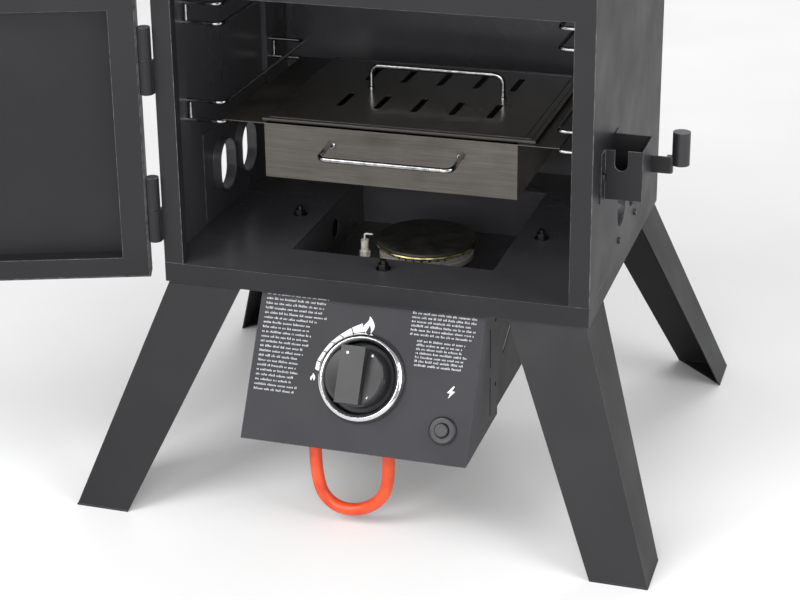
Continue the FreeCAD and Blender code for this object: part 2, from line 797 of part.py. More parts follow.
def gas_valve_body():
    """A brass block behind the face, bored for the spindle."""
    block = box(
        ("valve_width", "valve_length", "valve_depth"),
        ("-valve_width / 2", "-valve_length / 2", "-panel_sheet - valve_stand - valve_depth"),
    )
    neck = rod(
        "spindle_radius + 4", "valve_stand", (0, 0, "-panel_sheet - valve_stand")
    )
    bore = rod("spindle_radius + running", "valve_stand + 20", (0, 0, "-panel_sheet - valve_stand - 15"))
    outlet = rod(
        "pipe_radius + 1.5", "21", (0, "-valve_length / 2 + 1", "-panel_sheet - valve_stand - 14"),
        V(0, -1, 0),
    )
    return on_panel(cut(fuse(block, neck, outlet), bore))


def valve_spindle():
    """A round stem with a flat, carried by the valve and turned by the knob."""
    stem = rod(
        "spindle_radius", "panel_sheet + valve_stand + 10 + knob_gap + knob_socket - knob_travel",
        (0, 0, "-panel_sheet - valve_stand - 10"),
    )
    flat = box(
        ("spindle_flat * 2", "spindle_radius * 2 + 2", "knob_socket + knob_gap"),
        ("spindle_radius - spindle_flat", "-spindle_radius - 1", "0.5"),
    )
    return on_panel(cut(stem, flat))


def gas_knob():
    """A round disc with a straight grip bar across it, socketed for the stem."""
    disc = turned(
        [
            ("0", "knob_gap"),
            ("knob_radius", "knob_gap"),
            ("knob_radius", "knob_gap + knob_disc - 1.5"),
            ("knob_radius - 1.5", "knob_gap + knob_disc"),
            ("0", "knob_gap + knob_disc"),
        ]
    )
    bar = box(
        ("grip_width", "2 * knob_radius - 4", "grip_height"),
        ("-grip_width / 2", "-knob_radius + 2", "knob_gap + knob_disc - 0.01"),
    )
    socket = rod("spindle_radius + running", "knob_socket + 1.5", (0, 0, "knob_gap - 0.5"))
    key = box(
        ("spindle_flat * 2", "spindle_radius * 2 + 2", "knob_socket + 1.5"),
        ("spindle_radius - spindle_flat + running", "-spindle_radius - 1", "knob_gap - 0.5"),
    )
    return on_panel(cut(fuse(disc, bar), cut(socket, key)))


def piezo_body():
    """The igniter's barrel through the face, with a round rim and a nut behind."""
    place = ("piezo_x", "-piezo_down", 0)
    rim = turned(
        [
            ("button_radius + 0.3", "0"),
            ("piezo_radius", "0"),
            ("piezo_radius", "piezo_rim - 1.5"),
            ("piezo_radius - 1.5", "piezo_rim"),
            ("button_radius + 0.3", "piezo_rim"),
        ]
    )
    barrel = cut(
        rod("piezo_body", "piezo_length", (0, 0, "-piezo_length")),
        rod("button_radius + 0.3", "button_height + 14", (0, 0, "-button_height - 12")),
    )
    nut = cut(
        hexagon("piezo_body + 4", "4", (0, 0, "-panel_sheet - 4")),
        rod("piezo_body - 0.5", "6", (0, 0, "-panel_sheet - 5")),
    )
    together = at(fuse(rim, barrel, nut), place)
    return on_panel(group(together))


def piezo_button():
    """The plunger in the igniter's rim."""
    button = turned(
        [
            ("0", "-button_height"),
            ("button_radius", "-button_height"),
            ("button_radius", "piezo_rim + button_travel - 1"),
            ("button_radius - 1", "piezo_rim + button_travel"),
            ("0", "piezo_rim + button_travel - 0.8"),
        ]
    )
    return on_panel(group(at(button, ("piezo_x", "-piezo_down", 0))))


def gas_inlet_fitting():
    """The threaded spigot that the supply hose screws onto, on the valve's back."""
    back = "-panel_sheet - valve_stand - valve_depth"
    end = f"{back} - inlet_nut_height - inlet_length"
    nut = rod("inlet_nut_radius", "inlet_nut_height", (0, 0, f"{back} - inlet_nut_height"))
    spigot = rod("inlet_radius", "inlet_length", (0, 0, end))
    bore = rod("inlet_bore", "inlet_length + 4", (0, 0, f"{end} - 1"))
    return on_panel(cut(fuse(nut, spigot), bore))


# ---------------------------------------------------------------- gas line
def hose_fittings():
    """Two nipples pointing down behind the face, one on the valve's elbow, one on the pipe."""
    top = "hose_top + nipple_length"
    pieces = []
    for x in ("hose_left", "hose_right"):
        ferrule = rod("hose_radius + 0.8", "10", (x, "hose_plane", "hose_top"))
        stem = rod("pipe_radius + 0.5", "nipple_length - 6", (x, "hose_plane", "hose_top + 6"))
        nut = hexagon("hose_radius + 1.5", "5", (x, "hose_plane", f"{top} - 7"))
        pieces.append(fuse(ferrule, stem, nut))
    # a block turns the gas from the valve's outlet across to the right-hand nipple
    elbow = span(
        ("-elbow_half - 1", "hose_plane - elbow_half", top),
        ("hose_right + elbow_half", "hose_plane + elbow_half", f"{top} + elbow_height"),
    )
    return group(*pieces, elbow)


# The hose's route in its upright plane, X and Z; its two ends are the nipples' ends.
HOSE_TURNS = [(-48.9, 42.0), (-33.0, 17.5), (-6.0, 14.5), (19.0, 30.0), (27.6, 54.0)]


def cord_radii(points):
    """Each arc as large as its two runs allow."""
    radii = []
    for before, corner, after in zip(points, points[1:], points[2:]):
        shorter = min((before - corner).Length, (after - corner).Length)
        turn = math.pi - (before - corner).getAngle(after - corner)
        radii.append(0.45 * shorter / math.tan(turn / 2))
    return radii


def gas_hose():
    """The hose from the valve to the burner's pipe, hanging in a loop below the face."""
    points = [V(x, number("hose_plane"), z) for x, z in HOSE_TURNS]
    points.insert(0, point("hose_left", "hose_plane", "hose_top"))
    points.append(point("hose_right", "hose_plane", "hose_top"))
    radii = cord_radii(points)
    radius = number("hose_radius")
    solid = tube(points, radii, radius)
    length = path(points, radii).Length
    section = math.pi * radius**2
    print("hose radii", [round(r, 1) for r in radii], "length", round(length, 1))
    print("hose volume", round(solid.Volume), "section times length", round(section * length))
    return shape(solid)


def burner_pipe():
    """A bent steel pipe from the left-hand nipple back and up to the burner's neck."""
    start = "hose_top + nipple_length"
    return wire(
        [
            ("hose_left", "hose_plane", start),
            ("hose_left", "hose_plane", "pipe_level"),
            ("hose_left", "-60", "pipe_level"),
            ("burner_x", "burner_y", "pipe_level"),
            ("burner_x", "burner_y", "neck_low + 6"),
        ],
        "pipe_radius", "pipe_bend",
    )


# ---------------------------------------------------------------- doors
def door_skin(low, high, holes):
    """A pan of folded sheet: the face and its four edges."""
    outer = span(("-half_width", "door_face_y", low), ("half_width", "door_back_y", high))
    hollow = span(
        ("-half_width + wall", "door_face_y + wall", f"{low} + wall"),
        ("half_width - wall", "door_back_y + 1", f"{high} - wall"),
    )
    return swing(cut(outer, hollow, *holes))


def door_liner(low, high):
    """The folded rim inside the pan: a flat flange, and a wall down to the face."""
    edge = "(wall + liner_gap)"
    flange = span(
        (f"-half_width + {edge}", "door_back_y - wall", f"{low} + {edge}"),
        (f"half_width - {edge}", "door_back_y", f"{high} - {edge}"),
    )
    side = "(half_width - door_flange_side + wall)"
    wall = span(
        (f"-{side}", "door_face_y + wall + liner_lift", f"{low} + door_flange_end - wall"),
        (side, "door_back_y", f"{high} - door_flange_end + wall"),
    )
    hollow = span(
        ("-half_width + door_flange_side", "door_face_y - 1", f"{low} + door_flange_end"),
        ("half_width - door_flange_side", "door_back_y + 1", f"{high} - door_flange_end"),
    )
    return swing(cut(fuse(flange, wall), hollow))


def hinge_middles(low, high):
    return (f"{low} + hinge_inset", f"{high} - hinge_inset")


def hinge_knuckle(middle, upper):
    """One half of a lift-off hinge: the upper is bored for the pin, the lower holds it."""
    half = "hinge_length / 2 - hinge_gap / 2"
    start = f"{middle} + hinge_gap / 2" if upper else f"{middle} - hinge_length / 2"
    barrel = rod("hinge_radius", half, ("hinge_x", "hinge_y", start))
    fit = "running" if upper else "0"
    bore = rod(
        f"hinge_pin_radius + {fit}", "2 * pin_reach + 1",
        ("hinge_x", "hinge_y", f"{middle} - pin_reach - 0.5"),
    )
    return cut(barrel, bore)


def door_knuckles(low, high):
    return swing(group(*[hinge_knuckle(m, True) for m in hinge_middles(low, high)]))


def all_hinges():
    return hinge_middles("lower_door_low", "lower_door_high") + hinge_middles(
        "upper_door_low", "upper_door_high"
    )


def hinge_barrels_fixed():
    """The lower halves, each on a small tab welded to the side wall."""
    pieces = []
    for middle in all_hinges():
        knuckle = hinge_knuckle(middle, False)
        tab = span(
            ("hinge_x + hinge_pin_radius + 1", "hinge_y + 1", f"{middle} - hinge_length / 2"),
            ("-half_width", "front_y + hinge_tab_reach", f"{middle} - hinge_gap"),
        )
        pieces.append(fuse(knuckle, tab))
    return group(*pieces)


def hinge_pins():
    return group(
        *[
            rod("hinge_pin_radius", "2 * pin_reach", ("hinge_x", "hinge_y", f"{m} - pin_reach"))
            for m in all_hinges()
        ]
    )


def latch_hole(level):
    return rod(
        "latch_shaft_radius + running", "door_depth + 4",
        ("latch_x", "door_face_y - 2", level), V(0, 1, 0),
    )


def latch(level):
    """A lever outside, a shaft through the face and a cam that turns behind the frame."""
    outside = "(door_face_y - latch_standoff)"
    lever_back = f"({outside} - latch_hub_rise)"
    hub = rod(
        "latch_hub_radius", "latch_lever_sheet + latch_hub_rise", ("latch_x", outside, level), V(0, -1, 0)
    )
    lever = span(
        (
            "latch_x - latch_lever_width / 2",
            f"{lever_back} - latch_lever_sheet",
            f"{level} - latch_lever_length",
        ),
        ("latch_x + latch_lever_width / 2", lever_back, level),
    )
    shaft = rod(
        "latch_shaft_radius", f"cam_y - {outside} + latch_cam_sheet + 3",
        ("latch_x", f"{outside} - 1", level), V(0, 1, 0),
    )
    cam = span(
        ("latch_x - latch_cam_width / 2", "cam_y", f"{level} - latch_cam_width / 2"),
        ("latch_x + latch_cam_width / 2", "cam_y + latch_cam_sheet", f"{level} + latch_cam_length"),
    )
    return swing(fuse(hub, lever, shaft, cam))


def thermometer():
    """A dial on the upper door with its probe through the face."""
    level = "upper_door_low + dial_height"
    dial = rod("dial_radius", "dial_depth", (0, "door_face_y", level), V(0, -1, 0))
    recess = rod("dial_radius - 3", "2", (0, "door_face_y - dial_depth + 1.5", level), V(0, -1, 0))
    probe_rod = rod("probe_radius", "probe_length", (0, "door_face_y - 1", level), V(0, 1, 0))
    nut = rod("dial_nut_radius", "dial_nut_height", (0, "door_face_y + wall", level), V(0, 1, 0))
    return swing(fuse(cut(dial, recess), probe_rod, nut))


def thermometer_hole():
    return rod(
        "probe_radius", "door_depth", (0, "door_face_y - 2", "upper_door_low + dial_height"), V(0, 1, 0)
    )


# ---------------------------------------------------------------- shelf rails
def rail_levels():
    lower = ["rail_first", "rail_first + rail_pitch"]
    return lower + [f"rail_upper + {i} * upper_pitch" for i in range(4)]


def rail_posts():
    pieces = []
    for side in (-1, 1):
        low, high = pair(side, "post_face", "inner_half")
        for y in ("rail_front - post_width + 2.5", "rail_rear - post_width / 2"):
            pieces.append(
                span(
                    (low, y, "rail_first - post_below"),
                    (high, f"{y} + post_width", "roof_top - post_short"),
                )
            )
    return group(*pieces)


def rails(side):
    """Bent wires that carry the trays, in pairs: one under the tray's edge and one over it."""
    pieces = []
    for level in rail_levels():
        for rise in ("0", "rail_pair"):
            height = f"{level} + {rise}"
            pieces.append(
                wire(
                    [
                        (f"{side} * post_face", "rail_front", height),
                        (f"{side} * rail_line", "rail_front", height),
                        (f"{side} * rail_line", "rail_rear", height),
                        (f"{side} * post_face", "rail_rear", height),
                    ],
                    "wire_radius", "rail_bend",
                )
            )
    return group(*pieces)


def rail_ties():
    """Short upright wires that join each pair at the posts."""
    pieces = []
    for side in (-1, 1):
        for level in rail_levels():
            for y in ("rail_front", "rail_rear"):
                pieces.append(
                    rod(
                        "wire_radius", "rail_pair - 2 * wire_radius",
                        (f"{side} * (post_face - wire_radius - 1)", y, f"{level} + wire_radius"),
                    )
                )
    return group(*pieces)


# ---------------------------------------------------------------- trays
def tray(width, shift, front, rear, height, rim, sheet, top):
    """An open box that hangs between the rails from a flat rim."""
    flange = span((f"-{rim}", front, top), (rim, rear, f"{top} + {sheet}"))
    body = span(
        (f"{shift} - {width} / 2", front, f"{top} - {height}"),
        (f"{shift} + {width} / 2", rear, f"{top} + {sheet}"),
    )
    hollow = span(
        (f"{shift} - {width} / 2 + {sheet}", f"{front} + {sheet}", f"{top} - {height} + {sheet}"),
        (f"{shift} + {width} / 2 - {sheet}", f"{rear} - {sheet}", f"{top} + {sheet} + 1"),
    )
    return cut(fuse(flange, body), hollow)


def chip_box():
    return tray(
        "box_width", "box_shift", "box_front", "box_rear", "box_height", "box_flange", "box_sheet",
        "box_top",
    )


def chip_box_handle():
    x = "(box_shift + box_handle_shift)"
    half = "box_handle_span / 2"
    root = "box_top - box_handle_drop"
    return wire(
        [
            (f"{x} - {half}", "box_front", root),
            (f"{x} - {half}", "box_front - box_handle_reach", f"{root} - 4"),
            (f"{x} + {half}", "box_front - box_handle_reach", f"{root} - 4"),
            (f"{x} + {half}", "box_front", root),
        ],
        "handle_radius", "handle_bend",
    )


def chip_box_lid():
    """A shallow cover with turned-down edges and two rows of slots."""
    low = "box_top + box_sheet + slide_clearance"
    half = "lid_width / 2"
    outer = span(
        (f"lid_shift - {half}", "lid_front", low), (f"lid_shift + {half}", "lid_rear", f"{low} + lid_rise")
    )
    under = span(
        (f"lid_shift - {half} + lid_sheet", "lid_front + lid_sheet", f"{low} - 1"),
        (f"lid_shift + {half} - lid_sheet", "lid_rear - lid_sheet", f"{low} + lid_rise - lid_sheet"),
    )
    slots = []
    for row in ("slot_row_front", "slot_row_rear"):
        for i in range(-2, 3):
            x = f"lid_shift + {i} * slot_pitch"
            straight = "(slot_length - slot_width) / 2"
            slots.append(
                span(
                    (f"{x} - slot_width / 2", f"{row} - {straight}", low),
                    (f"{x} + slot_width / 2", f"{row} + {straight}", f"{low} + lid_rise + 1"),
                )
            )
            for sign in "+-":
                slots.append(rod("slot_width / 2", "lid_rise + 1", (x, f"{row} {sign} {straight}", low)))
    return cut(outer, under, fuse(*slots))


def lid_handle():
    x = "(lid_shift + lid_handle_shift)"
    half = "lid_handle_span / 2"
    low = "box_top + box_sheet + slide_clearance + lid_rise"
    return wire(
        [
            (f"{x} - {half}", "lid_handle_y", low),
            (f"{x} - {half}", "lid_handle_y", f"{low} + lid_handle_rise"),
            (f"{x} + {half}", "lid_handle_y", f"{low} + lid_handle_rise"),
            (f"{x} + {half}", "lid_handle_y", low),
        ],
        "handle_radius", "handle_bend",
    )


def water_pan():
    return tray(
        "pan_width", "0", "pan_front", "pan_rear", "pan_height", "pan_rim", "pan_sheet",
        "(rail_upper + tray_rest)",
    )


def grate(level):
    """A welded wire grate: a frame with bars across it."""
    height = number(f"{level} + wire_radius + slide_clearance + grate_frame_radius")
    half = number("grate_half - grate_frame_radius")
    front = number("grate_front + grate_frame_radius")
    rear = number("grate_rear - grate_frame_radius")
    thick = number("grate_frame_radius")
    thin = number("grate_bar_radius")
    start = V(0, front, height)
    corners = [V(x, y, height) for x, y in ((half, front), (half, rear), (-half, rear), (-half, front))]
    loop = path([start] + corners + [start], [number("grate_bend")] * 4)
    ring = Part.Wire([Part.Circle(start, V(1, 0, 0), thick).toShape()])
    frame = loop.makePipeShell([ring], True, False)
    bars = []
    count = int(number("grate_bars"))
    pitch = 2 * half / (count + 1)
    for i in range(count):
        x = -half + pitch * (i + 1)
        foot = V(x, front, height + thick - thin)
        bars.append(Part.makeCylinder(thin, rear - front, foot, V(0, 1, 0)))
    return shape(frame.fuse(bars))


# ---------------------------------------------------------------- right side and flue
def regulator_pocket():
    """An open-topped holster: a front plate with a notch, an outer plate and a rear plate."""
    side = "half_width"
    outer_x = "half_width + pocket_reach"
    rear = "(pocket_front + pocket_depth)"
    high = "pocket_low + pocket_height"
    shell = span((side, "pocket_front", "pocket_low"), (outer_x, rear, high))
    hollow = span(
        (f"{side} - 1", "pocket_front + pocket_sheet", "pocket_low - 1"),
        (f"{outer_x} - pocket_sheet", f"{rear} - pocket_sheet", f"{high} + 1"),
    )
    mid = f"({side} + 0.45 * pocket_reach)"
    notch = span(
        (f"{mid} - notch_width / 2", "pocket_front - 1", f"{high} - notch_depth + notch_width / 2"),
        (f"{mid} + notch_width / 2", "pocket_front + pocket_sheet + 1", f"{high} + 1"),
    )
    round_end = rod(
        "notch_width / 2", "pocket_sheet + 2",
        (mid, "pocket_front - 1", f"{high} - notch_depth + notch_width / 2"), V(0, 1, 0),
    )
    tab_x = f"{side} + pocket_sheet"
    front_tab = span(
        (side, "pocket_front - pocket_flange", "pocket_low"), (tab_x, "pocket_front + 1", high)
    )
    rear_tab = span((side, f"{rear} - 1", "pocket_low"), (tab_x, f"{rear} + pocket_flange", high))
    floor = span((side, "pocket_front", "pocket_low"), (outer_x, rear, "pocket_low + pocket_sheet"))
    return fuse(cut(shell, hollow, fuse(notch, round_end)), front_tab, rear_tab, floor)


def strap_arm():
    """A strap on the pocket's rear plate that reaches out to the hose clip."""
    rear = "pocket_front + pocket_depth"
    return span(
        ("half_width + pocket_reach - arm_overlap", rear, "arm_low"),
        ("half_width + pocket_reach + arm_reach", f"{rear} + pocket_sheet", "arm_low + arm_height"),
    )


def hose_clip():
    """An upright C-shaped clip, capped at the top, on the strap's end."""
    x = "half_width + pocket_reach + arm_reach + clip_radius - 1"
    y = "pocket_front + pocket_depth + pocket_sheet + clip_radius + 0.01"
    body = rod("clip_radius", "clip_height", (x, y, "clip_low"))
    bore = rod("clip_bore", "clip_height", (x, y, "clip_low - 3"))
    mouth = span(
        (f"{x} - clip_slot / 2", y, "clip_low - 1"),
        (f"{x} + clip_slot / 2", f"{y} + clip_radius + 1", "clip_low + clip_height - 3"),
    )
    lug = span(
        (f"{x} - clip_radius - 4", f"{y} - clip_radius", "arm_low"),
        (f"{x} - clip_bore", f"{y} - clip_bore + 4", "arm_low + arm_height"),
    )
    return cut(fuse(body, lug), bore, mouth)


def screw_head(foot, way):
    return cone("screw_radius", "screw_radius - screw_taper", "screw_rise", foot, way)


def side_screws():
    """Pan-head screws on both side walls and on the pocket's flange."""
    pieces = []
    for side in (-1, 1):
        for y in ("vent_front - screw_offset", "vent_rear + screw_offset"):
            for z in ("vent_level - screw_spread", "vent_level + screw_spread"):
                foot = (f"{side} * half_width", y, z)
                pieces.append(screw_head(foot, V(side, 0, 0)))
    tab = (
        "half_width + pocket_sheet",
        "pocket_front - pocket_flange / 2",
        "pocket_low + pocket_height / 2",
    )
    pieces.append(screw_head(tab, V(1, 0, 0)))
    return group(*pieces)


def flue_collar():
    """A short round stack on the roof, bored for the damper's pin."""
    foot = (0, 0, "roof_top")
    stack = rod("flue_radius", "flue_height", foot)
    flange = rod("flue_radius + flue_flange", "wall", foot)
    bore = rod("flue_radius - flue_wall", "flue_height + 2", (0, 0, "roof_top - 1"))
    pin = rod(
        "damper_pin_radius + running", "2 * flue_radius + 8",
        ("-flue_radius - 4", 0, "roof_top + damper_level"), V(1, 0, 0),
    )
    return cut(fuse(stack, flange), bore, pin)


def flue_damper():
    """A round blade on a cross pin, with a bent tail to turn it by."""
    level = "roof_top + damper_level"
    blade = rod("damper_radius", "damper_sheet", (0, 0, f"{level} - damper_sheet / 2"))
    pin = rod("damper_pin_radius", "2 * flue_radius + 14", ("-flue_radius - 3", 0, level), V(1, 0, 0))
    tail = span(
        ("flue_radius + 7", "-damper_pin_radius", f"{level} - 14"),
        ("flue_radius + 11", "damper_pin_radius", level),
    )
    return fuse(blade, pin, tail)


# ---------------------------------------------------------------- the smoker
node("floor_pan", floor_pan())
node("side_panel_left", side_panel(-1))
node("side_panel_right", side_panel(1))
node("vent_plate_left", vent_plate(-1))
node("vent_plate_right", vent_plate(1))
node("back_panel", back_panel())
node("top_panel", top_panel())
node("front_frame", front_frame())
node("flue_collar", flue_collar())
node("flue_damper", flue_damper())
for end, end_name in ((-1, "front"), (1, "rear")):
    for side, side_name in ((-1, "left"), (1, "right")):
        node(f"leg_{end_name}_{side_name}", leg(side, end))
node("leg_bolts", leg_bolts())
node("floor_bolts", floor_bolts())
node("burner_well", burner_well())
node("burner_base", burner_base())
node("burner_ring", burner_ring())
node("burner_cap", burner_cap())
node("igniter_electrode", igniter_electrode())
node("burner_shroud", burner_shroud())
node("control_panel", control_panel())
node("knob_bezel", knob_bezel())
node("gas_valve_body", gas_valve_body())
node("valve_spindle", valve_spindle())
node("gas_knob", gas_knob())
node("piezo_body", piezo_body())
node("piezo_button", piezo_button())
node("gas_inlet_fitting", gas_inlet_fitting())
node("hose_fittings", hose_fittings())
node("gas_hose", gas_hose())
node("burner_pipe", burner_pipe())
node("rail_posts", rail_posts())
node("rails_left", rails(-1))
node("rails_right", rails(1))
node("rail_ties", rail_ties())
node("chip_box", chip_box())
node("chip_box_handle", chip_box_handle())
node("chip_box_lid", chip_box_lid())
node("lid_handle", lid_handle())
node("water_pan", water_pan())
for i, name in enumerate(("lower", "middle", "upper"), start=1):
    node(f"grate_{name}", grate(f"rail_upper + {i} * upper_pitch"))
node("regulator_pocket", regulator_pocket())
node("strap_arm", strap_arm())
node("hose_clip", hose_clip())
node("side_screws", side_screws())
node("hinge_barrels_fixed", hinge_barrels_fixed())
node("hinge_pins", hinge_pins())
for name in ("lower", "upper"):
    low = f"{name}_door_low"
    high = f"{name}_door_high"
    middle = f"({low} + {high}) / 2"
    openings = [latch_hole(middle)]
    if name == "upper":
        openings.append(thermometer_hole())
    node(f"{name}_door_skin", door_skin(low, high, openings))
    node(f"{name}_door_liner", door_liner(low, high))
    node(f"{name}_door_knuckles", door_knuckles(low, high))
    node(f"{name}_door_latch", latch(middle))
node("thermometer", thermometer())

# ---------------------------------------------------------------- checks and files
doc.recompute()
for thing in doc.Objects:
    if "Invalid" in thing.State or "Error" in thing.State:
        raise RuntimeError(f"{thing.Label} failed: {thing.State}")
for piece in nodes:
    if piece.Shape.isNull() or not piece.Shape.isValid():
        raise RuntimeError(f"{piece.Label} has no valid shape")

os.makedirs("parts", exist_ok=True)
for piece in nodes:
    piece.Shape.exportStep(os.path.join("parts", piece.Label + ".step"))
print(len(nodes), "nodes written")
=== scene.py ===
import math
import random

import bpy
from mathutils import Matrix, Vector
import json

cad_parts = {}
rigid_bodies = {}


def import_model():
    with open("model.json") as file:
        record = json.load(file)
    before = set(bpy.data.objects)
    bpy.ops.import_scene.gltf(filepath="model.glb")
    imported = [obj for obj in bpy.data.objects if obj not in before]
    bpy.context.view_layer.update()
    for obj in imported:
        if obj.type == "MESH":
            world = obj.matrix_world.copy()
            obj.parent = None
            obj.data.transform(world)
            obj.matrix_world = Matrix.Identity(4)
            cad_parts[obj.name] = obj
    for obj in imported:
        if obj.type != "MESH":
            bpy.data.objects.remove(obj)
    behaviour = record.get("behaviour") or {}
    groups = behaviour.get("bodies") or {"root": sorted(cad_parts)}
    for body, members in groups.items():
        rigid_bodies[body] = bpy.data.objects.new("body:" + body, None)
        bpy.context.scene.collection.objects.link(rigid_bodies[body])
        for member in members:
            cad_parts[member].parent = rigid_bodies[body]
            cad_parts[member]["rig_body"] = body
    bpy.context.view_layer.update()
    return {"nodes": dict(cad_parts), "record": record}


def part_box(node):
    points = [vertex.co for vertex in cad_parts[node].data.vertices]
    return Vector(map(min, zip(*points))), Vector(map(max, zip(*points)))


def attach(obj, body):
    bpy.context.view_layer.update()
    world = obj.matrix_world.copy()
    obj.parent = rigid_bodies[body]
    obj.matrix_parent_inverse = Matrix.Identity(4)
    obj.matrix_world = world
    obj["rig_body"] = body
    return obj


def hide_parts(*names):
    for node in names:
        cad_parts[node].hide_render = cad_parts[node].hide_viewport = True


# A gas cabinet smoker: folded sheet steel in black powder coat, with an enamelled inside,
# chromed wire rails, a stainless chip box and a printed control panel. Metres, +Z up.

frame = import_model()

MM = 0.001
NODES = frame["nodes"]
SLOT_OF = {part["node"]: part["material_slot"] for part in frame["record"]["subparts"]}
SCENE = bpy.context.scene

SHARP_EDGE = math.radians(30)  # edges sharper than this are rounded
SMOOTH_UNDER = math.radians(35)  # faces that meet at less than this are shaded as one


# ---------------------------------------------------------------- view, light and floor
def camera():
    """Stands to the right of the front and looks down a little at the lower half."""
    azimuth, elevation, roll = (math.radians(a) for a in (17.40, 20.86, -0.64))
    back = Vector(
        (
            math.sin(azimuth) * math.cos(elevation),
            -math.cos(azimuth) * math.cos(elevation),
            math.sin(elevation),
        )
    )
    bpy.ops.object.camera_add(location=Vector((542.9, -1813.9, 967.6)) * MM)
    eye = bpy.context.object
    eye.rotation_mode = "QUATERNION"
    turn = Matrix.Rotation(roll, 3, "Z").to_quaternion()
    eye.rotation_quaternion = back.to_track_quat("Z", "Y") @ turn
    eye.data.lens = 87.04
    eye.data.sensor_width = 36
    eye.data.shift_y = -0.1
    eye.data.clip_start = 0.05
    SCENE.camera = eye


def softbox(name, place, aim, size, watts):
    bpy.ops.object.light_add(type="AREA", location=place)
    lamp = bpy.context.object
    lamp.name = name
    lamp.rotation_mode = "QUATERNION"
    lamp.rotation_quaternion = (Vector(place) - Vector(aim)).to_track_quat("Z", "Y")
    lamp.data.shape = "RECTANGLE"
    lamp.data.size, lamp.data.size_y = size
    lamp.data.energy = watts


def studio():
    """A pale floor under four large soft lights; the low one in front reaches inside."""
    middle = (0, 0, 0.45)
    softbox("key_light", (-1.6, -2.2, 2.3), middle, (1.8, 1.8), 66)
    softbox("side_light", (2.4, -0.9, 1.5), middle, (1.4, 2.0), 34)
    softbox("front_fill", (0.25, -2.4, 1.0), (0, 0, 0.3), (1.6, 1.0), 30)
    softbox("back_light", (0.2, 2.4, 2.2), middle, (2.2, 1.2), 30)
    world = bpy.data.worlds.new("studio")
    world.use_nodes = True
    sky = world.node_tree.nodes["Background"].inputs
    sky["Color"].default_value = (1, 1, 1, 1)
    sky["Strength"].default_value = 0.5
    SCENE.world = world
    SCENE.view_settings.view_transform = "Standard"
    bpy.ops.mesh.primitive_plane_add(size=14, location=(0, 0, 0))
    floor = bpy.context.object
    floor.name = "studio_floor"
    floor.data.materials.append(studio_paper())


# ---------------------------------------------------------------- material tools
def linear(hex_colour):
    """An sRGB hex colour as linear light."""
    channels = [int(hex_colour[i : i + 2], 16) / 255 for i in (1, 3, 5)]
    return (*[c / 12.92 if c <= 0.04045 else ((c + 0.055) / 1.055) ** 2.4 for c in channels], 1)


def across(size_mm):
    """The scale that gives a texture features of this size, on coordinates in metres."""
    return 1 / (size_mm * MM)


def add(tree, kind, inputs=None, **settings):
    """Adds a node with its settings; each input is a value or another node's output."""
    node = tree.nodes.new("ShaderNode" + kind)
    for name, value in settings.items():
        setattr(node, name, value)
    for name, value in (inputs or {}).items():
        if isinstance(value, bpy.types.NodeSocket):
            tree.links.new(value, node.inputs[name])
        else:
            node.inputs[name].default_value = value
    return node


def blank(name, **constants):
    """A new material, its nodes and its shader, with the shader's constants set."""
    material = bpy.data.materials.new(name)
    material.use_nodes = True
    tree = material.node_tree
    shader = tree.nodes["Principled BSDF"]
    for socket, value in constants.items():
        shader.inputs[socket.replace("_", " ")].default_value = value
    return material, tree, shader


def noise(tree, size_mm, detail=3, stretch=(1, 1, 1)):
    """Noise on the object's own metres, drawn out along an axis by stretch."""
    place = add(tree, "TexCoord").outputs["Object"]
    scaled = add(tree, "Mapping", {"Vector": place, "Scale": stretch}).outputs["Vector"]
    made = add(tree, "TexNoise", {"Vector": scaled, "Scale": across(size_mm), "Detail": detail})
    return made.outputs["Fac"]


def tint(tree, shader, factor, dark, light, low=0.35, high=0.65):
    """Base colour between two shades, over the factor's range from low to high."""
    ramp = add(tree, "ValToRGB", {"Fac": factor})
    ramp.color_ramp.elements[0].position = low
    ramp.color_ramp.elements[0].color = linear(dark)
    ramp.color_ramp.elements[1].position = high
    ramp.color_ramp.elements[1].color = linear(light)
    tree.links.new(ramp.outputs["Color"], shader.inputs["Base Color"])


def spread(tree, shader, factor, least, most):
    """Roughness from least to most over the factor's middle range."""
    limits = {"Value": factor, "From Min": 0.3, "From Max": 0.7, "To Min": least, "To Max": most}
    tree.links.new(add(tree, "MapRange", limits).outputs["Result"], shader.inputs["Roughness"])


def relief(tree, shader, height, depth_mm):
    """Fine relief of this depth, too shallow to be modelled."""
    bump = add(tree, "Bump", {"Height": height, "Distance": depth_mm * MM})
    tree.links.new(bump.outputs["Normal"], shader.inputs["Normal"])


# ---------------------------------------------------------------- finishes
def studio_paper():
    """Matt white paper with a barely uneven tone."""
    material, tree, shader = blank("studio_paper", Roughness=0.9)
    tint(tree, shader, noise(tree, 400), "#efefef", "#f4f4f4")
    return material


def powder_coat(name="satin_powder_coat", dark="#1e1e20", light="#252527"):
    """Polyester powder coat: satin, with an orange peel of 1 to 2 mm and a fine speckle."""
    material, tree, shader = blank(name, Specular_IOR_Level=0.24)
    speck = noise(tree, 0.7, 2)
    cloud = noise(tree, 90, 3)
    both = add(tree, "Mix", {"Factor": 0.35, "A": cloud, "B": speck}, data_type="FLOAT")
    tint(tree, shader, both.outputs["Result"], dark, light, 0.3, 0.7)
    spread(tree, shader, noise(tree, 60), 0.42, 0.52)
    relief(tree, shader, noise(tree, 1.6, 2), 0.06)
    return material


def painted_edge_highlight():
    """The coat on a folded edge, thin and smooth, painted lighter than the coat as a highlight
    where the edge takes the light.
    """
    material, tree, shader = blank("coat_edge_painted_highlight", Metallic=0.25)
    patches = noise(tree, 7, 4)
    # painted highlight: the edge colour is lighter than the coat's and stands in for the light that
    # folded edges catch
    tint(tree, shader, patches, "#3c3c3e", "#6a6a6c", 0.4, 0.7)
    spread(tree, shader, patches, 0.26, 0.4)
    relief(tree, shader, noise(tree, 1.2, 2), 0.03)
    return material


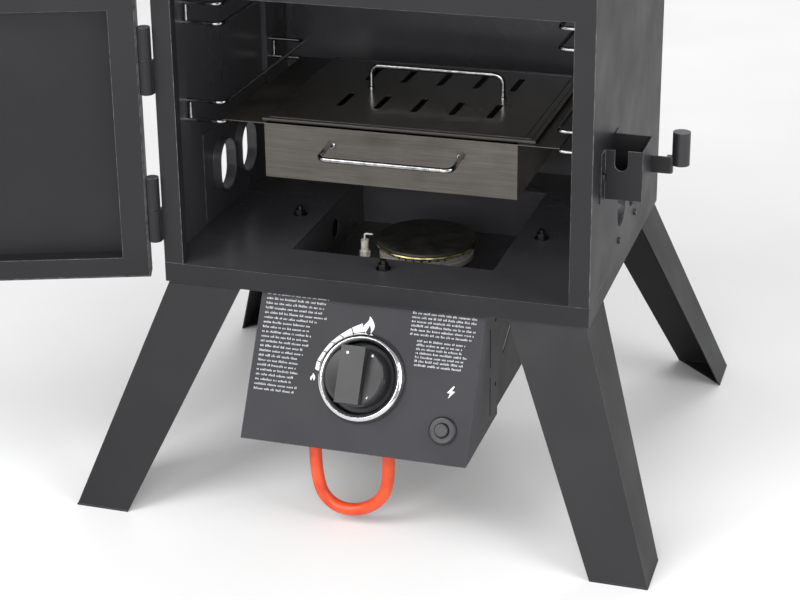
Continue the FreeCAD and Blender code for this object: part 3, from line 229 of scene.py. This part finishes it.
def inner_enamel():
    """Black enamel on the cabinet's inside: smooth, darker, with a soft wavy gloss."""
    material, tree, shader = blank("black_cabinet_enamel")
    haze = noise(tree, 45, 4)
    tint(tree, shader, haze, "#3b3b3e", "#404043")
    spread(tree, shader, noise(tree, 80, 2), 0.26, 0.34)
    relief(tree, shader, noise(tree, 30, 2), 0.1)
    return material


def lid_enamel():
    """Brown-black vitreous enamel: glassy, with slow waves of the sheet under it."""
    material, tree, shader = blank("brown_black_enamel", Coat_Weight=0.35, Coat_Roughness=0.12)
    haze = noise(tree, 60, 4)
    tint(tree, shader, haze, "#26231f", "#2d2a26")
    spread(tree, shader, noise(tree, 70, 2), 0.2, 0.28)
    relief(tree, shader, noise(tree, 60, 2), 0.35)
    return material


def chrome_wire():
    """Bright chrome plate over drawn wire: mirror-like, with faint draw lines and dull spots."""
    material, tree, shader = blank("chromed_wire", Metallic=1.0)
    dull = noise(tree, 6, 4)
    tint(tree, shader, dull, "#818181", "#a9a9a9", 0.3, 0.6)
    spread(tree, shader, dull, 0.1, 0.24)
    relief(tree, shader, noise(tree, 0.8, 2), 0.02)
    return material


def stainless():
    """Brushed stainless sheet: grain along X under 1 mm apart, smudges and shallow dents."""
    material, tree, shader = blank("brushed_stainless", Metallic=0.85, Anisotropic=0.4)
    grain = noise(tree, 0.9, 2, (0.02, 1, 1))
    smudge = noise(tree, 38, 4)
    both = add(tree, "Mix", {"Factor": 0.5, "A": grain, "B": smudge}, data_type="FLOAT")
    tint(tree, shader, both.outputs["Result"], "#4d4a46", "#625f5a")
    spread(tree, shader, smudge, 0.34, 0.5)
    relief(tree, shader, noise(tree, 55, 2), 0.8)
    return material


def stamped_steel(name, dark, light, rough=(0.25, 0.4), metal=1.0):
    """Plain or plated steel sheet with a fine directionless grain."""
    material, tree, shader = blank(name, Metallic=metal)
    grain = noise(tree, 1.2, 4)
    tint(tree, shader, grain, dark, light)
    spread(tree, shader, noise(tree, 12), *rough)
    relief(tree, shader, grain, 0.03)
    return material


def burner_enamel():
    """Matt heat-proof enamel on the burner's cap, with a pale film of ash."""
    material, tree, shader = blank("matt_burner_enamel")
    film = noise(tree, 18, 5)
    tint(tree, shader, film, "#1b1b19", "#292824")
    spread(tree, shader, film, 0.38, 0.6)
    relief(tree, shader, noise(tree, 1.1, 2), 0.05)
    return material


def heated_brass():
    """A yellow heat-tinted rim, brightest where the flame polishes it."""
    material, tree, shader = blank("heat_tinted_rim", Metallic=0.9)
    tone = noise(tree, 9, 3)
    tint(tree, shader, tone, "#85754a", "#cdbf8b")
    spread(tree, shader, tone, 0.22, 0.4)
    relief(tree, shader, noise(tree, 0.8, 2), 0.03)
    return material


def brass():
    """Machined brass with fine turning lines and a slight tarnish."""
    material, tree, shader = blank("machined_brass", Metallic=1.0)
    tone = noise(tree, 7, 4)
    tint(tree, shader, tone, "#a5823c", "#d0ab5b")
    spread(tree, shader, tone, 0.2, 0.36)
    relief(tree, shader, noise(tree, 0.6, 2, (1, 1, 6)), 0.02)
    return material


def ceramic():
    """Glazed white ceramic with a trace of soot."""
    material, tree, shader = blank("glazed_ceramic", Coat_Weight=0.6, Coat_Roughness=0.08)
    soot = noise(tree, 6, 4)
    tint(tree, shader, soot, "#bdb8ad", "#ece9e2", 0.3, 0.55)
    spread(tree, shader, soot, 0.2, 0.34)
    relief(tree, shader, noise(tree, 2, 2), 0.03)
    return material


def moulded_plastic():
    """Heat-resistant moulding: satin, with a spark-eroded grain of about 0.5 mm."""
    material, tree, shader = blank("moulded_black_plastic")
    grain = noise(tree, 0.5, 2)
    tint(tree, shader, noise(tree, 25, 3), "#1c1c1e", "#252527")
    spread(tree, shader, grain, 0.33, 0.44)
    relief(tree, shader, grain, 0.02)
    return material


def hose_rubber():
    """Orange synthetic rubber: smooth, a little waxy, with rubbed darker patches."""
    material, tree, shader = blank("orange_hose_rubber", Coat_Weight=0.2, Coat_Roughness=0.3)
    patches = noise(tree, 22, 4)
    tint(tree, shader, patches, "#c93a12", "#e4521f")
    spread(tree, shader, patches, 0.34, 0.48)
    relief(tree, shader, noise(tree, 1.0, 2), 0.04)
    return material


def print_ink(name, patch_mm, dark, light, low, high):
    """White screen-print ink, broken up by the coat's peel; thin strokes look greyer."""
    material, tree, shader = blank(name)
    tone = noise(tree, patch_mm, 3)
    tint(tree, shader, tone, dark, light, low, high)
    spread(tree, shader, tone, 0.45, 0.6)
    return material


COAT = powder_coat()
PANEL_COAT = powder_coat("printed_panel_coat", "#29292d", "#303034")
# the rounded sheet edges take this lighter colour, a painted highlight
EDGE_HIGHLIGHT = painted_edge_highlight()
ENAMEL = inner_enamel()
FINISH = {
    "powder_coat": COAT,
    "inner_enamel": ENAMEL,
    "chrome_wire": chrome_wire(),
    "stainless": stainless(),
    "lid_enamel": lid_enamel(),
    "burner_cap": burner_enamel(),
    "burner_steel": stamped_steel("pressed_burner_steel", "#b4b0a2", "#dedacb", metal=0.5),
    "plain_steel": stamped_steel("zinc_plated_steel", "#8f9092", "#b4b5b7"),
    "black_fastener": stamped_steel("black_oxide_steel", "#2c2c2e", "#414143", (0.35, 0.5)),
    "ceramic": ceramic(),
    "brass": brass(),
    "hose_rubber": hose_rubber(),
    "black_plastic": moulded_plastic(),
    "bezel_chrome": stamped_steel("polished_chrome", "#d0d0d0", "#e2e2e2", (0.05, 0.1)),
    "dial": stamped_steel("spun_dial_steel", "#adadad", "#cfcfcf", (0.2, 0.3)),
}
WHITE_INK = print_ink("white_screen_print", 1.2, "#d5d5d6", "#f1f1f1", 0.3, 0.5)
GREY_INK = print_ink("thin_screen_print", 0.9, "#77777a", "#cfcfd1", 0.35, 0.6)
RIM = heated_brass()


# ---------------------------------------------------------------- modelling tools
def select_only(piece):
    bpy.ops.object.select_all(action="DESELECT")
    piece.select_set(True)
    bpy.context.view_layer.objects.active = piece


def finish(piece, body, material=None, replaces=(), smooth=False):
    """Gives a piece its material and body, and hides the CAD nodes it stands for."""
    select_only(piece)
    bpy.ops.object.transform_apply(location=True, rotation=True, scale=True)
    if material:
        piece.data.materials.clear()
        piece.data.materials.append(material)
    if smooth:
        bpy.ops.object.shade_smooth_by_angle(angle=SHARP_EDGE)
    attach(piece, body)
    if replaces:
        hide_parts(*replaces)
    return piece


def bevelled(piece, width_mm, material=-1):
    """Rounds a piece's sharp edges; the flats between them keep their own shading."""
    select_only(piece)
    bevel = piece.modifiers.new("rounded", "BEVEL")
    bevel.width = width_mm * MM
    bevel.segments = 2
    bevel.limit_method = "ANGLE"
    bevel.angle_limit = SHARP_EDGE
    bevel.use_clamp_overlap = True
    bevel.material = material
    bevel.harden_normals = True
    bpy.ops.object.shade_smooth_by_angle(angle=SMOOTH_UNDER)
    bpy.ops.object.modifier_apply(modifier=bevel.name)
    return piece


def copied(node, name):
    """A copy of a CAD node's shape, with its loose triangles merged into whole faces."""
    piece = bpy.data.objects.new(name, NODES[node].data.copy())
    SCENE.collection.objects.link(piece)
    piece.data.materials.clear()
    select_only(piece)
    bpy.ops.object.mode_set(mode="EDIT")
    bpy.ops.mesh.select_all(action="SELECT")
    bpy.ops.mesh.remove_doubles(threshold=0.00001)
    bpy.ops.mesh.dissolve_limited(angle_limit=math.radians(0.3))
    bpy.ops.object.mode_set(mode="OBJECT")
    return piece


def folded_sheet(node, width_mm, outside, inward=None):
    """A sheet part with rounded edges painted lighter as a highlight, and enamel on its inward
    faces.
    """
    piece = copied(node, node + "_sheet")
    # the third slot paints the rounded edges lighter, as a painted highlight
    for material in (outside, ENAMEL if inward else outside, EDGE_HIGHLIGHT):
        piece.data.materials.append(material)
    if inward:
        for face in piece.data.polygons:
            face.material_index = 1 if face.normal.dot(Vector(inward)) > 0.7 else 0
    bevelled(piece, width_mm, material=2)
    finish(piece, NODES[node]["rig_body"], replaces=(node,))
    return piece


def turned(name, profile, steps=96):
    """A round piece spun about Z from its half profile of (radius, height) in millimetres."""
    bpy.ops.object.select_all(action="DESELECT")
    bpy.ops.mesh.primitive_plane_add(size=0.001, location=(0, 0, 0))
    piece = bpy.context.object
    piece.name = name
    bpy.ops.object.mode_set(mode="EDIT")
    bpy.ops.mesh.select_all(action="SELECT")
    bpy.ops.mesh.merge(type="CENTER")
    here = Vector((0, 0, 0))
    for i, (radius, height) in enumerate(profile):
        there = Vector((radius, 0, height)) * MM
        if i == 0:
            bpy.ops.transform.translate(value=there)
        else:
            bpy.ops.mesh.extrude_region_move(TRANSFORM_OT_translate={"value": there - here})
        here = there
    bpy.ops.mesh.select_all(action="SELECT")
    bpy.ops.mesh.spin(steps=steps, angle=math.tau, center=(0, 0, 0), axis=(0, 0, 1))
    bpy.ops.mesh.select_all(action="SELECT")
    bpy.ops.mesh.remove_doubles(threshold=0.000002)
    bpy.ops.mesh.normals_make_consistent(inside=False)
    bpy.ops.object.mode_set(mode="OBJECT")
    return piece


def placed(piece, matrix):
    """Puts a piece made about the origin where it belongs, in its mesh."""
    piece.data.transform(matrix)
    return piece


# ---------------------------------------------------------------- the hose
def gas_hose():
    """The hose hangs in a loop between two nipples behind the panel."""
    radius = 0.0063
    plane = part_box("gas_hose")[0].y + radius
    turns = [
        (-48.6, 88.0), (-48.9, 42.0), (-33.0, 17.5), (-6.0, 14.5), (19.0, 30.0), (27.6, 54.0),
        (27.0, 88.0),
    ]
    line = bpy.data.curves.new("gas_hose_tube", "CURVE")
    line.dimensions = "3D"
    line.bevel_depth = radius
    line.bevel_resolution = 8
    line.resolution_u = 24
    line.use_fill_caps = True
    spline = line.splines.new("NURBS")
    spline.points.add(len(turns) - 1)
    for point, (x, z) in zip(spline.points, turns):
        point.co = (x * MM, plane, z * MM, 1)
    spline.order_u = 3
    spline.use_endpoint_u = True
    hose = bpy.data.objects.new("gas_hose_tube", line)
    SCENE.collection.objects.link(hose)
    hose.data.materials.append(FINISH["hose_rubber"])
    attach(hose, "cabinet")
    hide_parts("gas_hose")


# ---------------------------------------------------------------- the cabinet's sheet parts
def sheet_parts():
    lined = {
        "side_panel_left": (1, 0, 0),
        "side_panel_right": (-1, 0, 0),
        "back_panel": (0, -1, 0),
        "top_panel": (0, 0, -1),
        "front_frame": (0, 1, 0),
        "floor_pan": (0, 0, 1),
    }
    for node, inward in lined.items():
        folded_sheet(node, 0.5, COAT, inward)
    for node in ("vent_plate_left", "vent_plate_right", "rail_posts", "burner_well"):
        folded_sheet(node, 0.4, ENAMEL)
    for end in ("front", "rear"):
        for side in ("left", "right"):
            folded_sheet(f"leg_{end}_{side}", 0.6, COAT)
    for node in ("burner_shroud", "regulator_pocket", "strap_arm", "flue_collar"):
        folded_sheet(node, 0.4, COAT)
    folded_sheet("control_panel", 0.6, PANEL_COAT)
    for door in ("lower", "upper"):
        folded_sheet(f"{door}_door_skin", 0.5, COAT)
        folded_sheet(f"{door}_door_liner", 0.5, COAT)
        folded_sheet(f"{door}_door_knuckles", 0.5, COAT)
    folded_sheet("hinge_barrels_fixed", 0.2, COAT)


def plain_nodes():
    """Every other CAD node keeps its shape and takes its slot's finish."""
    for node, piece in NODES.items():
        if not piece.hide_render:
            piece.data.materials.clear()
            piece.data.materials.append(FINISH[SLOT_OF[node]])


# ---------------------------------------------------------------- smaller parts
def softened_parts():
    """Moulded, turned and pressed parts, with their edges rounded."""
    for node, width in {
        "gas_knob": 0.9,
        "knob_bezel": 0.4,
        "piezo_body": 0.5,
        "piezo_button": 0.6,
        "gas_valve_body": 0.6,
        "hose_fittings": 0.4,
        "gas_inlet_fitting": 0.4,
        "burner_base": 0.8,
        "burner_ring": 0.3,
        "burner_cap": 0.8,
        "chip_box": 0.35,
        "chip_box_lid": 0.3,
        "water_pan": 0.6,
        "hose_clip": 0.4,
        "floor_bolts": 0.4,
        "leg_bolts": 0.4,
        "side_screws": 0.3,
        "lower_door_latch": 0.8,
        "upper_door_latch": 0.8,
        "thermometer": 0.5,
        "flue_damper": 0.5,
    }.items():
        piece = copied(node, node + "_finished")
        piece.data.materials.append(FINISH[SLOT_OF[node]])
        bevelled(piece, width)
        finish(piece, NODES[node]["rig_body"], replaces=(node,))


def burner_details():
    """A heat-tinted rim between the burner's cap and its ring of ports."""
    low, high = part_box("burner_cap")
    middle = (low + high) / 2
    seat = low.z / MM
    ring = [(49.4, seat - 0.9), (53.4, seat - 0.6), (53.9, seat + 0.4), (53.3, seat + 1.6)]
    rim = placed(turned("burner_rim", ring), Matrix.Translation((middle.x, middle.y, 0)))
    finish(rim, "cabinet", RIM, smooth=True)


def bar(name, low, high, body, slot):
    """A straight rib between two corners given in millimetres."""
    low, high = Vector(low) * MM, Vector(high) * MM
    bpy.ops.mesh.primitive_cube_add(size=1, location=(low + high) / 2)
    rib = bpy.context.object
    rib.name = name
    rib.dimensions = high - low
    bpy.ops.object.transform_apply(location=True, rotation=True, scale=True)
    bevelled(rib, 0.3)
    finish(rib, body, FINISH[slot])


def collar(name, place, axis, body):
    """A small plated collar where a wire handle meets the sheet."""
    profile = [(2.1, 0), (3.6, 0), (3.6, 1.6), (2.8, 2.4), (2.1, 2.4)]
    turn = Vector(axis).to_track_quat("Z", "Y").to_matrix().to_4x4()
    ring = placed(turned(name, profile, 32), Matrix.Translation(Vector(place) * MM) @ turn)
    finish(ring, body, FINISH["chrome_wire"], smooth=True)


def chip_box_details():
    """The lid's rolled hem lines and the collars of both wire handles."""
    low, high = (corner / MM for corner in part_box("chip_box_lid"))
    top = high.z
    for i, x in enumerate((low.x + 5.5, high.x - 13, high.x - 6)):
        ends = (x, low.y + 5, top - 0.3), (x + 1.5, high.y - 5, top + 0.5)
        bar(f"lid_line_{i}", *ends, "chip_lid", "lid_enamel")
    for i, y in enumerate((low.y + 5, high.y - 6.5)):
        ends = (low.x + 5.5, y, top - 0.3), (high.x - 6, y + 1.5, top + 0.5)
        bar(f"lid_cross_line_{i}", *ends, "chip_lid", "lid_enamel")
    low, high = (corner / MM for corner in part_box("lid_handle"))
    for i, x in enumerate((low.x + 2.5, high.x - 2.5)):
        collar(f"lid_collar_{i}", (x, 8, top), (0, 0, 1), "chip_lid")
    low, high = (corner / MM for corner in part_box("chip_box_handle"))
    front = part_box("chip_box")[0].y / MM
    for i, x in enumerate((low.x + 4.5, high.x - 4.5)):
        collar(f"box_collar_{i}", (x, front, (low.z + high.z) / 2), (0, -1, 0), "chip_box")


# ---------------------------------------------------------------- the printed panel
# The panel's face, about the knob's axis: x to the right, y up the face, z out of it.
PANEL = Matrix.Translation((0, -0.211, 0.15965)) @ Matrix.Rotation(math.radians(60), 4, "X")
# Outlines in millimetres; a 1 after x and y marks a sharp point.
FLAME = [
    (-0.5, 10, 1), (3.6, 5.5, 0), (6.2, 0, 0), (6, -4, 0), (3, -9.2, 1), (2.6, -4, 0),
    (0.8, 0.2, 1), (-1, -4.5, 0), (-3.4, -9.2, 1), (-5.8, -4, 0), (-5.6, -1, 0), (-3, 2.5, 0),
    (-0.8, 6, 0),
]
BOLT = [(1.5, 6), (-3.8, -0.8), (-0.6, -0.8), (-2.2, -6), (3.9, 1.2), (0.6, 1.2), (3.2, 6)]
SCALE_OUTER = [
    (-48.2, 2.9), (-47.5, 11.7), (-42.7, 21.6), (-36.9, 30.6), (-28.4, 39.1), (-17.3, 47.4),
    (-6.2, 53.2),
]
SCALE_INNER = [
    (-44.8, 1.5), (-44.0, 10.9), (-39.6, 21.2), (-32.6, 31.0), (-24.4, 37.6), (-14.8, 42.5),
    (-3.6, 45.0),
]


def printed(name, outlines, height, body, ink=WHITE_INK, face=PANEL):
    """Flat shapes of ink, this many millimetres over a face."""
    art = bpy.data.curves.new(name, "CURVE")
    art.dimensions = "2D"
    art.fill_mode = "FRONT"
    art.resolution_u = 6
    for outline in outlines:
        spline = art.splines.new("BEZIER")
        spline.bezier_points.add(len(outline) - 1)
        for point, (x, y, sharp) in zip(spline.bezier_points, outline):
            point.co = (x * MM, y * MM, 0)
            kind = "VECTOR" if sharp else "AUTO"
            point.handle_left_type = point.handle_right_type = kind
        spline.use_cyclic_u = True
    piece = bpy.data.objects.new(name, art)
    SCENE.collection.objects.link(piece)
    select_only(piece)
    bpy.ops.object.convert(target="MESH")
    piece = bpy.context.object
    placed(piece, face @ Matrix.Translation((0, 0, height * MM)))
    finish(piece, body, ink)


def sharp(points, dx=0, dy=0):
    """A straight-sided outline."""
    return [(x + dx, y + dy, 1) for x, y in points]


def dot(x, y, radius):
    """A round outline."""
    turns = (0, 1.57, 3.14, 4.71)
    return [(x + radius * math.cos(a), y + radius * math.sin(a), 0) for a in turns]


def scale_segments():
    """Six blocks that widen towards the flame, with thin gaps between them."""
    half_gap = 0.55
    blocks = []
    for i in range(6):
        ends = []
        for curve in (SCALE_OUTER, SCALE_INNER):
            first, last = (Vector(p) for p in curve[i : i + 2])
            trim = (last - first).normalized() * half_gap
            ends.append((first + trim, last - trim))
        (a, b), (d, c) = ends
        blocks.append(sharp([a, b, c, d]))
    return blocks


def text_rows():
    """Small print, as rows of plain bars in word-long groups."""
    rows = []
    for i in range(21):
        y = 71 - 4.7 * i
        rows.append((y, -108, min(-40, -62 * math.sqrt(1 - (y / 71) ** 2))))  # clear of the scale
    rows += [(68 - 4.1 * i, 42, 108) for i in range(6)]
    rows += [(41.5 - 3.9 * i, 50, 104) for i in range(7)]
    random.seed(7)
    bars = []
    for y, x, end in rows:
        end -= random.uniform(0, 9)
        while x < end:
            letters = random.choice((2, 3, 3, 4, 5, 6, 7, 9))
            for _ in range(letters):
                tall = random.choice((1.5, 1.5, 1.5, 2.2))
                if x + 1 < end:
                    bars.append(sharp([(x, y), (x + 0.85, y), (x + 0.85, y + tall), (x, y + tall)]))
                x += 1.35
            x += 1.3
    return bars


def panel_print():
    big = [(x * 0.87, y * 0.87 + 52, s) for x, y, s in FLAME]
    small = [(x * 0.4 - 49.5, y * 0.4 - 4.5, s) for x, y, s in FLAME]
    marks = scale_segments() + [big, small, sharp(BOLT, 90, -3)]
    printed("panel_symbols", marks, 0.06, "cabinet")
    printed("panel_small_print", text_rows(), 0.05, "cabinet", GREY_INK)
    printed("knob_dot", [dot(-5, 20.5, 1.3)], 41.06, "knob")
    # two small white marks on the knob's flank near the grip's ends, in the white ink
    upper_flank_mark = sharp([(14.6, 20.4), (17.8, 19.2), (16.9, 22.6)])
    lower_flank_mark = sharp([(15.2, -19.6), (17.4, -18.0), (16.6, -21.0)])
    printed("knob_marks", [upper_flank_mark, lower_flank_mark], 29.06, "knob")


def thermometer_face():
    """Tick marks and a needle on the round face in the upper door, which is open."""
    open_by = math.radians(160)
    out = Vector((-math.sin(open_by), -math.cos(open_by), 0))
    up = Vector((0, 0, 1))
    axes = (up.cross(out), up, out)
    points = [vertex.co for vertex in NODES["thermometer"].data.vertices]
    spans = [[point.dot(axis) for point in points] for axis in axes]
    across_by, up_by = ((min(span) + max(span)) / 2 for span in spans[:2])
    centre = axes[0] * across_by + up * up_by + out * max(spans[2])
    face = Matrix.Translation(centre) @ Matrix(axes).transposed().to_4x4()
    marks = []
    for i in range(31):
        angle = math.radians(225 - 9 * i)
        along = Vector((math.cos(angle), math.sin(angle)))
        half_width, start = (0.55, 18.5) if i % 5 == 0 else (0.3, 21)
        side = Vector((-along.y, along.x)) * half_width
        inner, outer = along * start, along * 24
        marks.append(sharp([inner - side, outer - side, outer + side, inner + side]))
    needle = sharp([(-1.6, -1.2), (1.2, -1.6), (-11.5, 14)])
    black = FINISH["black_plastic"]
    printed("thermometer_ticks", marks, 0.05, "upper_door", black, face)
    printed("thermometer_needle", [needle], 0.08, "upper_door", black, face)
    printed("thermometer_hub", [dot(0, 0, 2.6)], 0.12, "upper_door", black, face)


# ---------------------------------------------------------------- the scene
camera()
gas_hose()
studio()
sheet_parts()
softened_parts()
burner_details()
chip_box_details()
panel_print()
thermometer_face()
plain_nodes()
